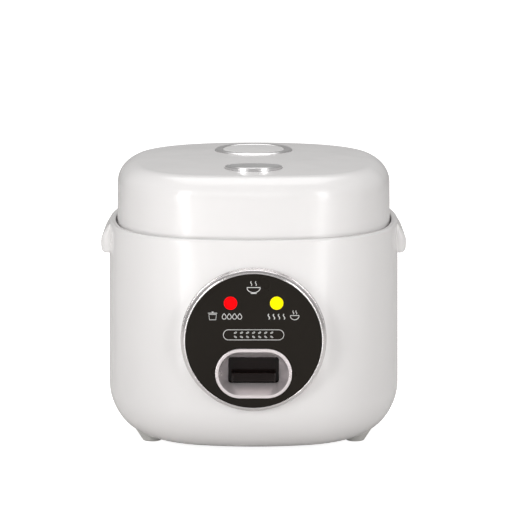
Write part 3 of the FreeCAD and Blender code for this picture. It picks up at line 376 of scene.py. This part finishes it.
def grip(side, name):
    """One side grip: a lip that slopes out of the rim and turns under."""
    section = [
        (102.6, 158.2), (104.4, 158.4), (106.0, 156.4), (108.4, 152.6), (110.0, 149.8), (110.8, 147.4),
        (110.9, 144.0), (110.8, 140.4), (110.2, 138.2), (108.8, 137.0), (106.4, 136.6), (102.6, 136.6),
    ]
    verts, steps = [], 36
    for i in range(steps + 1):
        y = -GRIP_HALF + 2 * GRIP_HALF * i / steps
        near = min(GRIP_HALF - abs(y), GRIP_ROUND) / GRIP_ROUND
        pull = (1 - math.sqrt(max(0.0, 1 - (1 - near) ** 2))) * 3.2
        squeeze = 1 - (1 - math.sqrt(max(0.0, 1 - (1 - near) ** 2))) * 0.12
        for x, z in section:
            reach = x - pull * (x - GRIP_ROOT) / 8.3
            verts.append((side * reach, y, GRIP_MID + (z - GRIP_MID) * squeeze))
    columns = len(section)
    faces = grid_faces(steps + 1, columns)
    faces += [tuple(range(columns)), tuple(range(steps * columns, (steps + 1) * columns))]
    made = piece("grip_" + name, verts, faces, WHITE, "base")
    fix_normals(made)
    creased(made, 50)
    smooth = made.modifiers.new("Rounding", "SUBSURF")
    smooth.levels = smooth.render_levels = 2


# ------------------------------------------------------------------ lid
def crown_height(x, y):
    return LID_TOP - (x * x + y * y) / (2 * CROWN_RADIUS)


def lid():
    """The lid's cover: drafted wall, broad shoulder and low crown, with its holes cut."""
    def wall(z):
        return LID_INSET + (z - LID_LOW) * LID_SLOPE

    rows = []
    columns = len(outline(0))

    def flat(inset, z):
        rows.append([(x, y, z) for x, y in outline(inset)])

    for inset, z in arc((LID_INSET + 0.5, LID_LOW + 0.5), 0.5, 270, 180, 4):
        flat(inset, z)
    for i in range(1, 16):
        z = LID_LOW + 0.5 + (LID_WALL_HIGH - LID_LOW - 0.5) * i / 15
        flat(wall(z), z)
    steps = 26
    for i in range(1, steps + 1):
        angle = math.pi / 2 * i / steps
        inset = wall(SHOULDER_Z) + LID_ROUND * (1 - math.cos(angle))
        end = outline(wall(SHOULDER_Z) + LID_ROUND)
        row = []
        for (x, y), (ex, ey) in zip(outline(inset), end):
            row.append((x, y, crown_height(ex, ey) - LID_ROUND * (1 - math.sin(angle))))
        rows.append(row)
    last = rows[-1]
    for i in range(1, 34):
        scale = 1 - i / 34
        rows.append([(x * scale, y * scale, crown_height(x * scale, y * scale)) for x, y, _ in last])
    verts = [p for row in rows for p in row]
    faces = grid_faces(len(rows), columns)
    verts.append((0, 0, LID_TOP))
    top, edge = len(verts) - 1, (len(rows) - 1) * columns
    faces += [(edge + j, edge + (j + 1) % columns, top) for j in range(columns)]
    inner, first = [], len(verts)
    inner.append([(x, y, LID_LOW) for x, y in outline(LID_INSET + LID_WALL)])
    inner.append([(x, y, LID_WALL_HIGH) for x, y in outline(wall(LID_WALL_HIGH) + LID_WALL)])
    for i in range(1, 9):
        angle = math.pi / 2 * i / 8
        inset = wall(SHOULDER_Z) + LID_WALL + INNER_ROUND * (1 - math.cos(angle))
        z = LID_CEILING - INNER_ROUND * (1 - math.sin(angle))
        inner.append([(x, y, z) for x, y in outline(inset)])
    verts += [p for row in inner for p in row]
    faces += [tuple(first + k for k in face) for face in grid_faces(len(inner), columns)]
    ceiling = first + (len(inner) - 1) * columns
    faces.append(tuple(range(ceiling, ceiling + columns)))
    faces += [(j, (j + 1) % columns, first + (j + 1) % columns, first + j) for j in range(columns)]
    made = piece("lid_shell", verts, faces, WHITE, "lid")
    fix_normals(made)
    creased(made)
    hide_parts("lid_cover")
    cutter(made, oval_cutter("vent_hole", (0, CAP_Y), 20.3, 20.3, "Z", HOLE_LOW, HOLE_HIGH))
    cutter(made, oval_cutter("cap_recess", (0, CAP_Y), 28.9, 28.9, "Z", 202.6, HOLE_HIGH))
    cutter(made, oval_cutter("button_hole", (0, BUTTON_Y), 20.6, 17.3, "Z", HOLE_LOW, HOLE_HIGH))
    cutter(made, box_cutter("hinge_slot", (-12.2, 89.5, 162.7), (12.2, 103.5, 170.3)))


# ------------------------------------------------------------------ panel
def bezel():
    """The panel's plated ring: a thin outer lip, a groove and a bright inner bevel."""
    face = PANEL_FACE
    profile = [
        (50.95, -98.5), (51.0, face + 6.2), (50.9, face + 5.6), (50.6, face + 5.3),
        (50.35, face + 5.2), (50.2, face + 4.6), (50.25, face + 2.6), (50.2, face + 1.5),
        (50.0, face + 1.1), (49.7, face + 0.85), (48.9, face + 0.2), (48.3, face - 0.22),
        (48.0, face - 0.3), (47.75, face - 0.24), (47.62, face - 0.05), (47.5, face + 0.9),
        (47.45, face + 2.6), (45.4, face + 2.65), (45.4, -98.5),
    ]
    made = lathe("bezel_ring", profile, CHROME, "base", centre=(0, PANEL_Z), axis="Y", count=192)
    creased(made, 50)
    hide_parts("panel_bezel")


casing()
lid()
bezel()


# ------------------------------------------------------------------ prints on the panel
PRINT_BACK, PRINT_FRONT = PANEL_FACE + 0.02, PANEL_FACE - 0.1


def stroke(points, width, closed=False):
    """The two edges of a pen stroke along points."""
    left, right = [], []
    count = len(points)
    for i, (x, z) in enumerate(points):
        before = points[(i - 1) % count] if closed or i > 0 else points[i]
        after = points[(i + 1) % count] if closed or i < count - 1 else points[i]
        dx, dz = after[0] - before[0], after[1] - before[1]
        size = math.hypot(dx, dz)
        nx, nz = -dz / size * width / 2, dx / size * width / 2
        left.append((x + nx, z + nz))
        right.append((x - nx, z - nz))
    return left, right


def ribbon(name, strokes):
    """Open and closed strokes as flat ink with a little thickness."""
    verts, faces = [], []
    for points, width, closed in strokes:
        left, right = stroke(points, width, closed)
        start, count = len(verts), len(points)
        for y in (PRINT_BACK, PRINT_FRONT):
            verts += [(x, y, z) for x, z in left]
            verts += [(x, y, z) for x, z in right]
        spans = count if closed else count - 1
        for j in range(spans):
            k = (j + 1) % count
            for a, b in ((0, 1), (1, 3), (3, 2), (2, 0)):
                quad = (a * count + j, a * count + k, b * count + k, b * count + j)
                faces.append(tuple(start + v for v in quad))
        if not closed:
            for j in (0, count - 1):
                cap = (j, count + j, 3 * count + j, 2 * count + j)
                faces.append(tuple(start + v for v in cap))
    made = piece(name, verts, faces, PRINT, "base", smooth=False)
    fix_normals(made)
    return made


def wave(x, z, tall, swing, count=14):
    """A rising line of steam."""
    return [(x + swing * math.sin(TURN * i / count), z + tall * i / count) for i in range(count + 1)]


def flame(x, z, size, count=18):
    """A drop-shaped outline that stands on its round end."""
    points = []
    for i in range(count):
        a = TURN * i / count
        lift = max(0.0, math.sin(a)) ** 2
        across = 0.42 * size * math.cos(a) * (1 - 0.55 * lift)
        points.append((x + across, z + 0.5 * size * math.sin(a) * (1 + 0.35 * lift)))
    return points


def pill(half_wide, half_tall, z, count=14):
    """A slot outline about the panel's middle line."""
    reach = half_wide - half_tall
    right = [(reach + half_tall * math.cos(a), z + half_tall * math.sin(a)) for a in
             [-math.pi / 2 + math.pi * i / count for i in range(count + 1)]]
    return right + [(-x, 2 * z - zz) for x, zz in right]


def prints():
    """Generic pictograms where the panel has its words: flames, steam, a pot, a bowl and grains."""
    thin = 0.42
    pot = [
        ([(-31.0, 109.4), (-30.6, 105.6), (-26.2, 105.6), (-25.8, 109.4)], thin, True),
        ([(-31.6, 110.3), (-25.2, 110.3)], thin, False),
        ([(-29.0, 111.0), (-27.8, 111.0)], 0.7, False),
    ]
    ribbon("print_pot", pot)
    ribbon("print_flames", [(flame(-20.4 + 3.6 * i, 107.7, 3.4), thin, True) for i in range(4)])
    ribbon("print_steam", [(wave(10.6 + 3.5 * i, 105.9, 3.8, 0.55), 0.55, False) for i in range(4)])
    bowl = [(28.5 + 3.1 * math.cos(a), 108.6 + 3.0 * math.sin(a)) for a in
            [math.pi + math.pi * i / 16 for i in range(17)]]
    ribbon("print_bowl", [(bowl, thin, True), (wave(27.5, 109.5, 2.6, 0.35), 0.4, False),
                          (wave(29.6, 109.5, 2.6, 0.35), 0.4, False)])
    grains = []
    for row, tilt in ((96.4, 0.5), (93.4, -0.5)):
        for i in range(7):
            x = -12.6 + 4.2 * i
            grains.append(([(x + 0.95 * math.cos(a) * math.cos(tilt) - 0.4 * math.sin(a) * math.sin(tilt),
                             row + 0.95 * math.cos(a) * math.sin(tilt) + 0.4 * math.sin(a) * math.cos(tilt))
                            for a in [TURN * k / 12 for k in range(12)]], 0.32, True))
    ribbon("print_grains", grains)
    ribbon("print_pill", [(pill(21.0, 3.6, 94.9), 0.35, True)])
    big = [(4.6 * math.cos(a), 128.4 + 3.6 * math.sin(a)) for a in
           [math.pi + math.pi * i / 20 for i in range(21)]]
    ribbon("print_rice_bowl", [
        (big, 0.5, True), ([(-2.0, 124.2), (2.0, 124.2)], 0.5, False),
        (wave(-1.6, 129.6, 3.2, 0.4), 0.45, False), (wave(1.6, 129.6, 3.2, 0.4), 0.45, False),
    ])


prints()


# ------------------------------------------------------------------ floor, light and camera
FLOOR_GLOW, SKY = 0.9, 0.36
LIT_POINT = (0, 0, 0.1)


def floor():
    """A pale floor that looks evenly white to the camera but bounces little light."""
    mesh = bpy.data.meshes.new("floor")
    size = 6.0
    corners = [(-size, -size, 0), (size, -size, 0), (size, size, 0), (-size, size, 0)]
    mesh.from_pydata(corners, [], [(0, 1, 2, 3)])
    material, tree, shader = nodes_of("floor")
    shader.inputs["Base Color"].default_value = (0.72, 0.71, 0.7, 1)
    shader.inputs["Roughness"].default_value = 0.8
    shader.inputs["Specular IOR Level"].default_value = 0.1
    path = tree.nodes.new("ShaderNodeLightPath")
    glow = tree.nodes.new("ShaderNodeMath")
    glow.operation = "MULTIPLY"
    glow.inputs[1].default_value = FLOOR_GLOW
    link(tree, path, "Is Camera Ray", glow, 0)
    shader.inputs["Emission Color"].default_value = (1, 1, 1, 1)
    link(tree, glow, "Value", shader, "Emission Strength")
    mesh.materials.append(material)
    made = bpy.data.objects.new("floor", mesh)
    bpy.context.collection.objects.link(made)


def area(name, spot, wide, tall, power):
    """A soft box that faces the middle of the cooker."""
    data = bpy.data.lights.new(name, "AREA")
    data.shape = "RECTANGLE"
    data.size, data.size_y, data.energy = wide, tall, power
    made = bpy.data.objects.new(name, data)
    made.location = spot
    made.rotation_euler = (Vector(LIT_POINT) - Vector(spot)).to_track_quat("-Z", "Y").to_euler()
    bpy.context.collection.objects.link(made)


def low_strip(side, power):
    """A lamp that lies on the floor beyond the picture, for the tall soft bands on the walls."""
    data = bpy.data.lights.new("low_strip", "AREA")
    data.shape = "RECTANGLE"
    data.size, data.size_y, data.energy = 0.16, 1.0, power
    made = bpy.data.objects.new("low_strip", data)
    made.location = (side * 0.44, -0.75, 0.012)
    made.rotation_euler = (math.pi, 0, side * math.radians(35))
    made.visible_camera = False
    bpy.context.collection.objects.link(made)


def studio():
    world = bpy.data.worlds.new("studio")
    bpy.context.scene.world = world
    world.use_nodes = True
    sky = world.node_tree.nodes["Background"]
    sky.inputs["Color"].default_value = (1, 0.99, 0.985, 1)
    sky.inputs["Strength"].default_value = SKY
    area("left_box", (-0.95, -1.25, 0.55), 0.34, 1.2, 9.0)
    area("right_box", (0.95, -1.25, 0.55), 0.34, 1.2, 6.0)
    area("front_box", (0, -2.6, 1.5), 1.6, 0.8, 4)
    area("top_soft", (0, 0.3, 1.7), 1.4, 1.4, 13)
    for side, power in ((-1, 1.5), (1, 1.15)):
        low_strip(side, power)
    bpy.context.scene.view_settings.view_transform = "Standard"


def camera():
    data = bpy.data.cameras.new("camera")
    data.sensor_width = 36
    data.lens = 164.7
    data.shift_x, data.shift_y = 0.0047, 0.0623
    data.clip_end = 50
    made = bpy.data.objects.new("camera", data)
    made.location = (0, -1.700, 0.4483)
    aim = Vector((0, 0, 0.1055))
    made.rotation_euler = (aim - made.location).to_track_quat("-Z", "Y").to_euler()
    bpy.context.collection.objects.link(made)
    bpy.context.scene.camera = made


floor()
studio()
camera()
